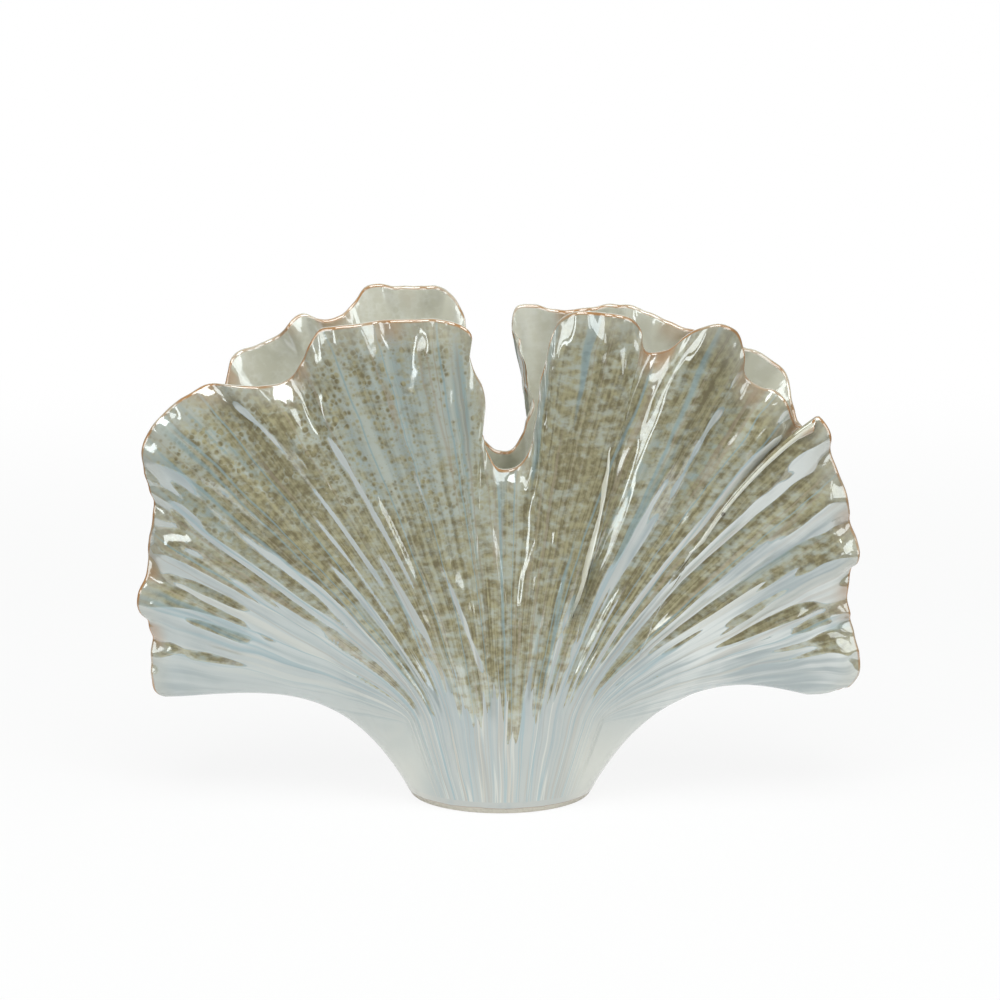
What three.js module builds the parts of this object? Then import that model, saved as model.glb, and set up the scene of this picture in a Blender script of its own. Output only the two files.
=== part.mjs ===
// Leaf-shaped ceramic vase: two fluted fan walls luted together along a keel,
// standing on an oval foot ring, with a floor plate inside.
// Millimetres, +Z up, front of the vase towards -Y.
import * as THREE from 'three';

// Driving dimensions.
const WIDTH = 285;
const HEIGHT = 202;
const MOUTH_DEPTH = 52;
const RUFFLE = 9;
const FLUTE = 1.1;
const FLUTE_COUNT = 17;
const FOOT_WIDTH = 72.6;
const FOOT_DEPTH = 60;
const FOOT_HEIGHT = 5;
const FOOT_LEDGE = 4.2;
const FLOOR_THICKNESS = 4;
const WALL = 4.5;
const RIM = 3;
const CLEARANCE = 0.3;

// How the fan opens: outward lean at the foot, and the reach of the two
// Bezier handles that pull each rib from the foot towards the rim.
// SHOULDER brings the wall out to its belly low down, SECTION_POWER keeps that belly
// full towards the keels, and RIGHT_LIFT arches the right keel higher than the left.
const SIDE_LEAN = 0.5;
const FRONT_LEAN = 0.14;
const FOOT_REACH = 48;
const RIM_REACH = 0.38;
const RIM_TURN = 0.35;
const RIM_SHARE = 0.09;
const FAN_CENTRE = 0.24;
const LENS_POWER = 0.38;
const BELLY = 1.1;
const SHOULDER = 0.8;
const SECTION_POWER = 6;
const RIGHT_LIFT = 7;

// The ruffle of the rim: broad waves fade slowly down the wall, sharp folds quickly.
const RUFFLE_FADE = 2.2;
const FOLD_FADE = 7;
const FOLD_SHARE = 0.035;
const FOLD_SAMPLES = 9;

// Mesh resolution.
const COLUMNS = 112;
const OUTER_ROWS = 11;
const INNER_ROWS = 7;
const OVAL_STEPS = 96;

// Rim outlines, left corner to right corner as seen from the front:
// [thousandths of half the width, thousandths of the height, wave].
// Wave 1 pushes the rim outwards by RUFFLE, -1 pulls it inwards.
const FRONT_RIM = [
  [-935, 198, 0], [-968, 226, 0.2], [-974, 287, 0.1], [-976, 347, -0.2], [-1000, 415, 0.4],
  [-978, 475, -0.1], [-976, 520, 0.2], [-950, 610, -0.3], [-974, 692, 0.4], [-970, 737, 0.5],
  [-930, 787, 0.4], [-862, 826, 0.1], [-797, 850, -0.1], [-702, 851, 0.1], [-618, 848, -0.2],
  [-582, 857, -0.5], [-540, 896, -0.2], [-518, 930, 0.1], [-490, 960, 0.3], [-448, 967, 0.4],
  [-323, 977, 0.1], [-252, 982, 0.2], [-182, 982, 0.4], [-112, 972, 0.4], [-82, 955, 0.3],
  [-78, 926, 0.1], [-78, 896, -0.1], [-67, 871, -0.2], [-48, 847, -0.4], [-36, 812, -0.5],
  [-35, 743, -0.6], [-26, 706, -0.6], [-3, 682, -0.6], [38, 682, -0.6], [67, 705, -0.6],
  [86, 753, -0.5], [103, 842, -0.3], [126, 908, 0], [140, 948, 0.2], [161, 980, 0.4],
  [203, 997, 0.5], [288, 992, 0.3], [358, 982, 0.1], [386, 955, -0.2], [400, 911, -0.7],
  [442, 913, -0.5], [498, 947, 0], [540, 966, 0.4], [596, 975, 0.6], [640, 956, 0.4],
  [662, 914, 0.1], [670, 866, -0.3], [709, 844, -0.3], [750, 839, 0.1], [779, 817, 0.3],
  [798, 788, 0.1], [812, 768, -0.2], [835, 771, -0.2], [862, 793, 0.2], [889, 766, 0.3],
  [907, 710, 0], [946, 640, 0.2], [966, 577, -0.2], [984, 527, 0.4], [974, 475, 0.1],
  [961, 413, -0.3], [985, 349, 0.1], [1000, 285, 0.4], [985, 240, 0.2], [957, 214, 0.1],
  [890, 198, 0],
];
const BACK_RIM = [
  [-935, 198, 0], [-968, 226, 0.2], [-974, 307, 0.1], [-985, 376, 0.3], [-968, 455, -0.2],
  [-972, 525, 0.2], [-947, 604, -0.3], [-954, 673, 0.3], [-912, 738, 0.4], [-842, 772, 0],
  [-779, 800, -0.4], [-766, 830, -0.3], [-748, 862, 0.2], [-681, 883, 0.4], [-618, 905, 0.1],
  [-596, 930, -0.1], [-554, 947, 0], [-505, 940, -0.2], [-447, 944, -0.3], [-408, 968, 0.1],
  [-374, 998, 0.4], [-295, 1000, 0.2], [-239, 998, 0.2], [-183, 1000, 0.4], [-137, 978, 0.3],
  [-101, 938, 0], [-90, 881, -0.2], [-84, 812, -0.4], [-77, 743, -0.6], [-52, 697, -0.6],
  [-12, 675, -0.6], [24, 677, -0.6], [50, 697, -0.6], [62, 733, -0.5], [55, 802, -0.3],
  [42, 881, 0], [34, 926, 0.2], [50, 955, 0.3], [105, 958, 0.3], [182, 952, 0],
  [253, 959, 0.2], [323, 963, 0.4], [379, 956, 0.3], [435, 943, 0], [505, 926, -0.5],
  [561, 912, -0.2], [618, 910, 0.3], [674, 881, 0.4], [723, 869, 0.2], [765, 847, 0.3],
  [800, 822, 0.3], [821, 777, 0], [835, 738, -0.4], [877, 703, 0.3], [919, 653, 0.3],
  [940, 584, -0.2], [968, 525, 0.3], [961, 455, -0.1], [954, 396, -0.3], [979, 337, 0.2],
  [993, 277, 0.4], [982, 240, 0.2], [955, 214, 0.1], [890, 198, 0],
];

// Outline of the oval foot where it stands, and where the walls start.
const groundHalf = [FOOT_WIDTH / 2, FOOT_DEPTH / 2];
const baseHalf = [
  groundHalf[0] + SIDE_LEAN * FOOT_HEIGHT,
  groundHalf[1] + FRONT_LEAN * FOOT_HEIGHT,
];
const ringBand = WALL + CLEARANCE + FOOT_LEDGE;

const clamp01 = (value) => Math.min(1, Math.max(0, value));

// Rim curve through the listed points; x and z in millimetres, wave in the third place.
function rimCurve(outline) {
  const halfWidth = (WIDTH - RIM) / 2;
  const top = HEIGHT - RIM / 2;
  const points = outline.map(
    ([x, z, wave]) => new THREE.Vector3((x / 1000) * halfWidth, (z / 1000) * top, wave * RUFFLE),
  );
  const curve = new THREE.CatmullRomCurve3(points, false, 'centripetal');
  curve.arcLengthDivisions = 2000;
  return curve;
}

// Unruffled wall of one half: place(along, rise) gives a point, along and rise both 0 to 1.
function fanSurface(outline, side) {
  const curve = rimCurve(outline);
  const centre = FAN_CENTRE * HEIGHT;
  const angleOf = (point) => Math.atan2(point.x, point.y - centre);
  const ends = [angleOf(curve.getPointAt(0)), angleOf(curve.getPointAt(1))];

  function meridian(along) {
    const rim = curve.getPointAt(along);
    const angle = angleOf(rim);
    const share = clamp01(angle < 0 ? angle / ends[0] : angle / ends[1]);
    const lens = Math.max(0, Math.cos((share * Math.PI) / 2)) ** LENS_POWER;
    const belly = ((side * MOUTH_DEPTH) / 2) * BELLY * Math.sqrt(1 - share ** SECTION_POWER);
    const turn = (along - 0.5) * Math.PI;
    const across = Math.sin(turn);
    const out = Math.cos(turn);

    const foot = new THREE.Vector3(baseHalf[0] * across, side * baseHalf[1] * out, FOOT_HEIGHT);
    const end = new THREE.Vector3(rim.x, (side * lens * MOUTH_DEPTH) / 2, rim.y);
    const lean = new THREE.Vector3(SIDE_LEAN * across, side * FRONT_LEAN * out, 1).normalize();

    const before = curve.getPointAt(clamp01(along - RIM_SHARE));
    const after = curve.getPointAt(clamp01(along + RIM_SHARE));
    const square = new THREE.Vector2(before.y - after.y, after.x - before.x).normalize();
    const arrive = new THREE.Vector2(Math.sin(angle), Math.cos(angle))
      .multiplyScalar(1 - RIM_TURN)
      .addScaledVector(square, RIM_TURN)
      .normalize();
    const pull = RIM_REACH * Math.hypot(end.x - foot.x, end.z - foot.z);
    const handle = new THREE.Vector3(
      end.x - pull * arrive.x,
      belly,
      end.z - pull * arrive.y + RIGHT_LIFT * Math.max(0, across) ** 4,
    );
    const low = foot.clone().addScaledVector(lean, FOOT_REACH);
    low.y += SHOULDER * (belly - low.y);
    const bezier = new THREE.CubicBezierCurve3(foot, low, handle, end);
    let wave = 0;
    for (let sample = 0; sample < FOLD_SAMPLES; sample += 1) {
      const offset = FOLD_SHARE * ((2 * sample) / (FOLD_SAMPLES - 1) - 1);
      wave += curve.getPointAt(clamp01(along + offset)).z / FOLD_SAMPLES;
    }
    return { bezier, wave, fold: rim.z - wave };
  }
  return meridian;
}

// Outward normal of the unruffled wall; at the keel it lies in the plane y = 0.
function outwardNormal(meridian, along, rise, side) {
  const step = 1e-3;
  const climb = meridian(along).bezier.getTangent(rise);
  if (along === 0 || along === 1) {
    const sign = along === 0 ? -1 : 1;
    return new THREE.Vector3(sign * climb.z, 0, -sign * climb.x).normalize();
  }
  const left = meridian(clamp01(along - step)).bezier.getPoint(rise);
  const right = meridian(clamp01(along + step)).bezier.getPoint(rise);
  const cross = right.sub(left).cross(climb);
  return cross.multiplyScalar(-side).normalize();
}

// One fan wall as a closed body: for each column a closed profile runs up the outside,
// over the rounded rim and down the inside.
function fanWall(outline, side) {
  const meridian = fanSurface(outline, side);
  const keel = (side * CLEARANCE) / 2;
  const columns = [];

  for (let column = 0; column <= COLUMNS; column += 1) {
    const along = column / COLUMNS;
    const { bezier, wave, fold } = meridian(along);
    const ridge = Math.cos(2 * Math.PI * FLUTE_COUNT * along);
    const onKeel = column === 0 || column === COLUMNS;

    const skin = (rise, depth) => {
      const normal = outwardNormal(meridian, along, rise, side);
      const level = clamp01(rise / 0.15);
      const inward = normal.clone();
      inward.z *= level;
      inward.normalize();
      const fluted = onKeel ? 0 : FLUTE * ridge * Math.sin(Math.PI * rise);
      const swell = wave * rise ** RUFFLE_FADE + fold * rise ** FOLD_FADE + fluted;
      const point = bezier.getPoint(rise).addScaledVector(normal, swell);
      point.addScaledVector(inward, -depth);
      point.y += keel;
      point.y = side < 0 ? Math.min(point.y, keel) : Math.max(point.y, keel);
      return point;
    };

    const profile = [];
    for (let row = 0; row <= OUTER_ROWS; row += 1) {
      profile.push(skin(row / OUTER_ROWS, 0));
    }
    const outer = skin(1, 0);
    const inner = skin(1, RIM);
    const middle = outer.clone().lerp(inner, 0.5);
    const climb = bezier.getTangent(1).multiplyScalar(RIM / 2);
    for (const bend of [Math.PI / 3, (2 * Math.PI) / 3]) {
      profile.push(
        middle
          .clone()
          .addScaledVector(outer.clone().sub(middle), Math.cos(bend))
          .addScaledVector(climb, Math.sin(bend)),
      );
    }
    for (let row = INNER_ROWS; row >= 0; row -= 1) {
      const rise = row / INNER_ROWS;
      profile.push(skin(rise, WALL + (RIM - WALL) * rise));
    }
    if (onKeel) {
      profile.forEach((point) => point.setY(keel));
    }
    columns.push(profile);
  }

  const count = columns[0].length;
  const points = columns.flat();
  const faces = [];
  const addFace = (a, b, c) => faces.push(side < 0 ? [a, b, c] : [a, c, b]);
  for (let column = 0; column < COLUMNS; column += 1) {
    for (let row = 0; row < count; row += 1) {
      const a = column * count + row;
      const b = column * count + ((row + 1) % count);
      addFace(a, a + count, b + count);
      addFace(a, b + count, b);
    }
  }
  for (const column of [0, COLUMNS]) {
    const outlinePoints = columns[column].map((point) => new THREE.Vector2(point.x, point.z));
    const withProfile = (column === 0) === (side < 0);
    const turnsLeft = THREE.ShapeUtils.area(outlinePoints) > 0;
    for (const triangle of THREE.ShapeUtils.triangulateShape(outlinePoints, [])) {
      const sameTurn = THREE.ShapeUtils.area(triangle.map((index) => outlinePoints[index])) > 0;
      const [a, b, c] = triangle.map((index) => column * count + index);
      faces.push((sameTurn === turnsLeft) === withProfile ? [a, b, c] : [a, c, b]);
    }
  }
  return toGeometry(points, faces);
}

// Body swept round an oval: loops are [half width, half depth, z] in profile order.
// A hollow body closes the profile on itself; a solid one is capped at both ends.
function ovalBody(loops, hollow) {
  const points = [];
  for (const [halfWidth, halfDepth, z] of loops) {
    for (let step = 0; step < OVAL_STEPS; step += 1) {
      const turn = (2 * Math.PI * step) / OVAL_STEPS;
      points.push(new THREE.Vector3(halfWidth * Math.cos(turn), halfDepth * Math.sin(turn), z));
    }
  }
  const faces = [];
  const bands = hollow ? loops.length : loops.length - 1;
  for (let band = 0; band < bands; band += 1) {
    const low = band * OVAL_STEPS;
    const high = ((band + 1) % loops.length) * OVAL_STEPS;
    for (let step = 0; step < OVAL_STEPS; step += 1) {
      const next = (step + 1) % OVAL_STEPS;
      faces.push([low + step, low + next, high + next]);
      faces.push([low + step, high + next, high + step]);
    }
  }
  if (!hollow) {
    const top = (loops.length - 1) * OVAL_STEPS;
    for (let step = 1; step < OVAL_STEPS - 1; step += 1) {
      faces.push([0, step + 1, step]);
      faces.push([top, top + step, top + step + 1]);
    }
  }
  return toGeometry(points, faces);
}

function toGeometry(points, faces) {
  const geometry = new THREE.BufferGeometry();
  geometry.setAttribute(
    'position',
    new THREE.Float32BufferAttribute(points.flatMap((point) => point.toArray()), 3),
  );
  geometry.setIndex(faces.flat());
  geometry.computeVertexNormals();
  return geometry;
}

// Foot ring: bevelled under the edge, leaning out as the walls above it do.
function footRing() {
  const bevel = 0.15 * FOOT_HEIGHT;
  const grow = (z) => [groundHalf[0] + SIDE_LEAN * z, groundHalf[1] + FRONT_LEAN * z];
  const [lowWidth, lowDepth] = grow(bevel);
  const hole = [baseHalf[0] - ringBand, baseHalf[1] - ringBand];
  return ovalBody(
    [
      [hole[0] + bevel, hole[1] + bevel, 0],
      [groundHalf[0] - bevel, groundHalf[1] - bevel, 0],
      [lowWidth, lowDepth, bevel],
      [baseHalf[0], baseHalf[1], FOOT_HEIGHT],
      [hole[0], hole[1], FOOT_HEIGHT],
      [hole[0], hole[1], bevel],
    ],
    true,
  );
}

// Floor plate: drops inside the walls and rests on the ledge of the foot ring.
function floorPlate() {
  const inset = WALL + CLEARANCE;
  const half = [baseHalf[0] - inset, baseHalf[1] - inset];
  return ovalBody(
    [
      [half[0], half[1], FOOT_HEIGHT],
      [half[0], half[1], FOOT_HEIGHT + FLOOR_THICKNESS],
    ],
    false,
  );
}

const glaze = new THREE.MeshStandardMaterial({ color: '#9b9a84', roughness: 0.15 });
const paleGlaze = new THREE.MeshStandardMaterial({ color: '#bcbdb0', roughness: 0.2 });
const bareClay = new THREE.MeshStandardMaterial({ color: '#bab4a5', roughness: 0.8 });

const pieces = [
  ['front_wall', fanWall(FRONT_RIM, -1), glaze],
  ['back_wall', fanWall(BACK_RIM, 1), glaze],
  ['floor_plate', floorPlate(), paleGlaze],
  ['foot_ring', footRing(), bareClay],
];

const vase = new THREE.Group();
vase.name = 'leaf_vase';
for (const [name, geometry, material] of pieces) {
  const mesh = new THREE.Mesh(geometry, material.clone());
  mesh.name = name;
  vase.add(mesh);
}

// Put the origin under the middle of the whole vase.
const middle = new THREE.Box3().setFromObject(vase).getCenter(new THREE.Vector3());
for (const mesh of vase.children) {
  mesh.geometry.translate(-middle.x, -middle.y, 0);
}

export default vase;
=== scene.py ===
# %% [markdown]
# # A fan-leaf vase in glossy reactive glaze
# The real vase is a flat fan of stoneware, shaped like a ginkgo or lotus leaf. Two fluted walls are
# pinched together along a keel, open at the top in a ruffled rim, and stand on a small oval foot.
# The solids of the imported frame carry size, mass and collision. This lesson makes what is seen.

# %% Load the fixed frame
import math
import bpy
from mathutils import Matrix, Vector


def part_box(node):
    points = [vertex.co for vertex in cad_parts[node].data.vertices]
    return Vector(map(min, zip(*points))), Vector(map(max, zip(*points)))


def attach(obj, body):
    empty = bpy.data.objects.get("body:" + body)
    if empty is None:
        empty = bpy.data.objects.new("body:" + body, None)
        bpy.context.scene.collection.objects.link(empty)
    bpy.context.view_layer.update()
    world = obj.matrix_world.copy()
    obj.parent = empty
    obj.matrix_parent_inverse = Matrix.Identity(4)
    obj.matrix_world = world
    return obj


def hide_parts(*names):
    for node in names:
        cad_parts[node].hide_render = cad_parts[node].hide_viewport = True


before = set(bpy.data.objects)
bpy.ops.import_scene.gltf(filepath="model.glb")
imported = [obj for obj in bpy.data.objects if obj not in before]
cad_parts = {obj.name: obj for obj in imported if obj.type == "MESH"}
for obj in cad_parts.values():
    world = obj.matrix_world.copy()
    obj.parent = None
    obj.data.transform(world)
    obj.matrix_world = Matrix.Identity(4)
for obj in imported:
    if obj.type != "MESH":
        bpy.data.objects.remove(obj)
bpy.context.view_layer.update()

from types import SimpleNamespace

import bpy
import numpy as np
from mathutils import Vector

print("frame nodes:", sorted(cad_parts))

# %% [markdown]
# ## Sizes
# The walls follow the same rule as the solids, so the same sizes drive them, here in metres.
# The solids were shifted so that the origin lies under the middle of the whole vase. The foot ring
# shows how far, and every piece below takes the same shift.

# %% Driving sizes
WIDTH = 0.285
HEIGHT = 0.202
MOUTH_DEPTH = 0.052
RUFFLE = 0.009
FOOT_WIDTH = 0.0726
FOOT_DEPTH = 0.060
FOOT_HEIGHT = 0.005
FOOT_LEDGE = 0.0042
FLOOR_THICKNESS = 0.004
WALL = 0.0045
RIM = 0.003
CLEARANCE = 0.0003

SIDE_LEAN = 0.5
FRONT_LEAN = 0.14
FOOT_REACH = 0.048
RIM_REACH = 0.38
RIM_TURN = 0.35
RIM_SHARE = 0.09
FAN_CENTRE = 0.24
LENS_POWER = 0.38
BELLY = 1.1
SHOULDER = 0.8
SECTION_POWER = 6
RIGHT_LIFT = 0.007
RUFFLE_FADE = 2.2
FOLD_FADE = 7.0
FOLD_SHARE = 0.035
FOLD_SAMPLES = 9

GROUND_HALF = (FOOT_WIDTH / 2, FOOT_DEPTH / 2)
BASE_HALF = (
    GROUND_HALF[0] + SIDE_LEAN * FOOT_HEIGHT,
    GROUND_HALF[1] + FRONT_LEAN * FOOT_HEIGHT,
)

ring_low, ring_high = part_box("foot_ring")
SHIFT = np.array(
    [(ring_low[0] + ring_high[0]) / 2, (ring_low[1] + ring_high[1]) / 2, 0.0]
)
print("shift of the vase in mm:", np.round(SHIFT * 1000, 2))

# %% [markdown]
# ## The rim outline
# The rim was cut and pinched by hand, so no formula gives it. A short list of chosen points does:
# each is [thousandths of half the width, thousandths of the height, wave], from the left corner to
# the right corner as seen from the front. The wave pushes the rim out (1) or pulls it in (-1).
# The points are those of the solids, with the front's waves eased a little at the left side.

# %% Rim points
FRONT_RIM = [
    [-935, 198, 0], [-968, 226, 0.2], [-974, 287, 0.1], [-976, 347, -0.2], [-1000, 415, 0.4],
    [-978, 475, -0.2], [-976, 520, 0], [-950, 610, 0.1], [-974, 692, 0.3], [-970, 737, 0.35],
    [-930, 787, 0.4], [-862, 826, 0.1], [-797, 850, -0.1], [-702, 851, 0.1], [-618, 848, -0.2],
    [-582, 857, -0.5], [-540, 896, -0.2], [-518, 930, 0.1], [-490, 960, 0.3], [-448, 967, 0.4],
    [-323, 977, 0.1], [-252, 982, 0.2], [-182, 982, 0.4], [-112, 972, 0.4], [-82, 955, 0.3],
    [-78, 926, 0.1], [-78, 896, -0.1], [-67, 871, -0.2], [-48, 847, -0.4], [-36, 812, -0.5],
    [-35, 743, -0.6], [-26, 706, -0.6], [-3, 682, -0.6], [38, 682, -0.6], [67, 705, -0.6],
    [86, 753, -0.5], [103, 842, -0.3], [126, 908, 0], [140, 948, 0.2], [161, 980, 0.4],
    [203, 997, 0.5], [288, 992, 0.3], [358, 982, 0.1], [386, 955, -0.2], [400, 911, -0.7],
    [442, 913, -0.5], [498, 947, 0], [540, 966, 0.4], [596, 975, 0.6], [640, 956, 0.4],
    [662, 914, 0.1], [670, 866, -0.3], [709, 844, -0.3], [750, 839, 0.1], [779, 817, 0.3],
    [798, 788, 0.1], [812, 768, -0.2], [835, 771, -0.2], [862, 793, 0.2], [889, 766, 0.3],
    [907, 710, 0], [946, 640, 0.2], [966, 577, -0.2], [984, 527, 0.4], [974, 475, 0.1],
    [961, 413, -0.3], [985, 349, 0.1], [1000, 285, 0.4], [985, 240, 0.2], [957, 214, 0.1],
    [890, 198, 0],
]
BACK_RIM = [
    [-935, 198, 0], [-968, 226, 0.2], [-974, 307, 0.1], [-985, 376, 0.3], [-968, 455, -0.2],
    [-972, 525, 0.2], [-947, 604, -0.3], [-954, 673, 0.3], [-912, 738, 0.4], [-842, 772, 0],
    [-779, 800, -0.4], [-766, 830, -0.3], [-748, 862, 0.2], [-681, 883, 0.4], [-618, 905, 0.1],
    [-596, 930, -0.1], [-554, 947, 0], [-505, 940, -0.2], [-447, 944, -0.3], [-408, 968, 0.1],
    [-374, 998, 0.4], [-295, 1000, 0.2], [-239, 998, 0.2], [-183, 1000, 0.4], [-137, 978, 0.3],
    [-101, 938, 0], [-90, 881, -0.2], [-84, 812, -0.4], [-77, 743, -0.6], [-52, 697, -0.6],
    [-12, 675, -0.6], [24, 677, -0.6], [50, 697, -0.6], [62, 733, -0.5], [55, 802, -0.3],
    [42, 881, 0], [34, 926, 0.2], [50, 955, 0.3], [105, 958, 0.3], [182, 952, 0],
    [253, 959, 0.2], [323, 963, 0.4], [379, 956, 0.3], [435, 943, 0], [505, 926, -0.5],
    [561, 912, -0.2], [618, 910, 0.3], [674, 881, 0.4], [723, 869, 0.2], [765, 847, 0.3],
    [800, 822, 0.3], [821, 777, 0], [835, 738, -0.4], [877, 703, 0.3], [919, 653, 0.3],
    [940, 584, -0.2], [968, 525, 0.3], [961, 455, -0.1], [954, 396, -0.3], [979, 337, 0.2],
    [993, 277, 0.4], [982, 240, 0.2], [955, 214, 0.1], [890, 198, 0],
]
print("rim points:", len(FRONT_RIM), "front,", len(BACK_RIM), "back")

# %% [markdown]
# A smooth curve has to run through the points without loops where they lie close together.
# A centripetal Catmull-Rom spline does that. It is sampled finely once, and then read by its
# length, so that equal steps along the rim are equal steps of clay.

# %% Rim curve
SPLINE_STEPS = 24


def rim_reader(outline):
    half_width = (WIDTH - RIM) / 2
    top = HEIGHT - RIM / 2
    knots = np.array(
        [[x / 1000 * half_width, z / 1000 * top, wave * RUFFLE] for x, z, wave in outline]
    )
    padded = np.vstack([2 * knots[0] - knots[1], knots, 2 * knots[-1] - knots[-2]])
    fraction = np.linspace(0, 1, SPLINE_STEPS, endpoint=False)[:, None]
    samples = []
    for before, start, end, after in zip(padded, padded[1:], padded[2:], padded[3:]):
        gaps = [
            math.sqrt(np.linalg.norm(b - a))
            for a, b in ((before, start), (start, end), (end, after))
        ]
        leave = (start - before) / gaps[0] - (end - before) / (gaps[0] + gaps[1])
        leave = (leave + (end - start) / gaps[1]) * gaps[1]
        reach = (end - start) / gaps[1] - (after - start) / (gaps[1] + gaps[2])
        reach = (reach + (after - end) / gaps[2]) * gaps[1]
        square = fraction**2
        cube = fraction**3
        samples.append(
            start * (2 * cube - 3 * square + 1)
            + leave * (cube - 2 * square + fraction)
            + end * (3 * square - 2 * cube)
            + reach * (cube - square)
        )
    curve = np.vstack([*samples, knots[-1:]])
    lengths = np.concatenate([[0], np.cumsum(np.linalg.norm(np.diff(curve, axis=0), axis=1))])

    def read(along):
        at = np.clip(along, 0, 1) * lengths[-1]
        return np.stack([np.interp(at, lengths, curve[:, axis]) for axis in range(3)], axis=-1)

    return read, lengths[-1]


for name, outline in (("front", FRONT_RIM), ("back", BACK_RIM)):
    print(name, "rim length in mm:", round(rim_reader(outline)[1] * 1000))

# %% [markdown]
# ## The sheet of clay
# Each flute starts upright at the foot and bends outwards like a leaf's vein. A cubic Bezier curve
# from a point of the oval foot to a point of the rim does this. Side by side, the curves make one
# smooth sheet. The sheet could be sculpted instead, but then the rim and foot would not stay on the
# frame's outline.

# %% Fan sheet
def lens_depth(rim, ends):
    angle = np.arctan2(rim[:, 0], rim[:, 1] - FAN_CENTRE * HEIGHT)
    share = np.clip(np.where(angle < 0, angle / ends[0], angle / ends[1]), 0, 1)
    depth = np.maximum(np.cos(share * math.pi / 2), 0) ** LENS_POWER
    belly = BELLY * np.sqrt(1 - share**SECTION_POWER)
    return angle, depth * MOUTH_DEPTH / 2, belly * MOUTH_DEPTH / 2


def vein_handles(outline, side, along):
    read, _ = rim_reader(outline)
    rim = read(along)
    corners = read(np.array([0.0, 1.0]))
    ends = np.arctan2(corners[:, 0], corners[:, 1] - FAN_CENTRE * HEIGHT)
    angle, depth, belly = lens_depth(rim, ends)
    turn = (along - 0.5) * math.pi
    across, out = np.sin(turn), np.maximum(np.cos(turn), 0)
    level = np.full_like(along, FOOT_HEIGHT)
    foot = np.stack([BASE_HALF[0] * across, side * BASE_HALF[1] * out, level], axis=-1)
    lean = np.stack([SIDE_LEAN * across, side * FRONT_LEAN * out, np.ones_like(along)], axis=-1)
    lean /= np.linalg.norm(lean, axis=1, keepdims=True)
    end = np.stack([rim[:, 0], side * depth, rim[:, 1]], axis=-1)
    chord = read(along + RIM_SHARE) - read(along - RIM_SHARE)
    square = np.stack([-chord[:, 1], chord[:, 0]], axis=-1)
    square /= np.linalg.norm(square, axis=1, keepdims=True)
    radial = np.stack([np.sin(angle), np.cos(angle)], axis=-1)
    arrive = (1 - RIM_TURN) * radial + RIM_TURN * square
    arrive /= np.linalg.norm(arrive, axis=1, keepdims=True)
    pull = RIM_REACH * np.hypot(end[:, 0] - foot[:, 0], end[:, 2] - foot[:, 2])
    handle = np.stack(
        [end[:, 0] - pull * arrive[:, 0], side * belly, end[:, 2] - pull * arrive[:, 1]],
        axis=-1,
    )
    handle[:, 2] += RIGHT_LIFT * np.maximum(across, 0) ** 4
    low = foot + FOOT_REACH * lean
    low[:, 1] += SHOULDER * (side * belly - low[:, 1])
    window = np.linspace(-FOLD_SHARE, FOLD_SHARE, FOLD_SAMPLES)
    wave = np.mean([read(along + offset)[:, 2] for offset in window], axis=0)
    return (foot, low, handle, end), wave, rim[:, 2] - wave


def fan_sheet(outline, side, along, rise):
    (foot, low, high, end), wave, fold = vein_handles(outline, side, along)
    t = rise[:, None, None]
    s = 1 - t
    place = s**3 * foot + 3 * s**2 * t * low + 3 * s * t**2 * high + t**3 * end
    climb = s**2 * (low - foot) + 2 * s * t * (high - low) + t**2 * (end - high)
    climb /= np.linalg.norm(climb, axis=-1, keepdims=True)
    out = -side * np.cross(np.gradient(place, axis=1), climb)
    for column, sign in ((0, -1), (-1, 1)):
        keel = climb[:, column]
        out[:, column] = np.stack([sign * keel[:, 2], 0 * keel[:, 1], -sign * keel[:, 0]], axis=-1)
    out /= np.linalg.norm(out, axis=-1, keepdims=True)
    return place, out, climb, wave, fold
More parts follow.
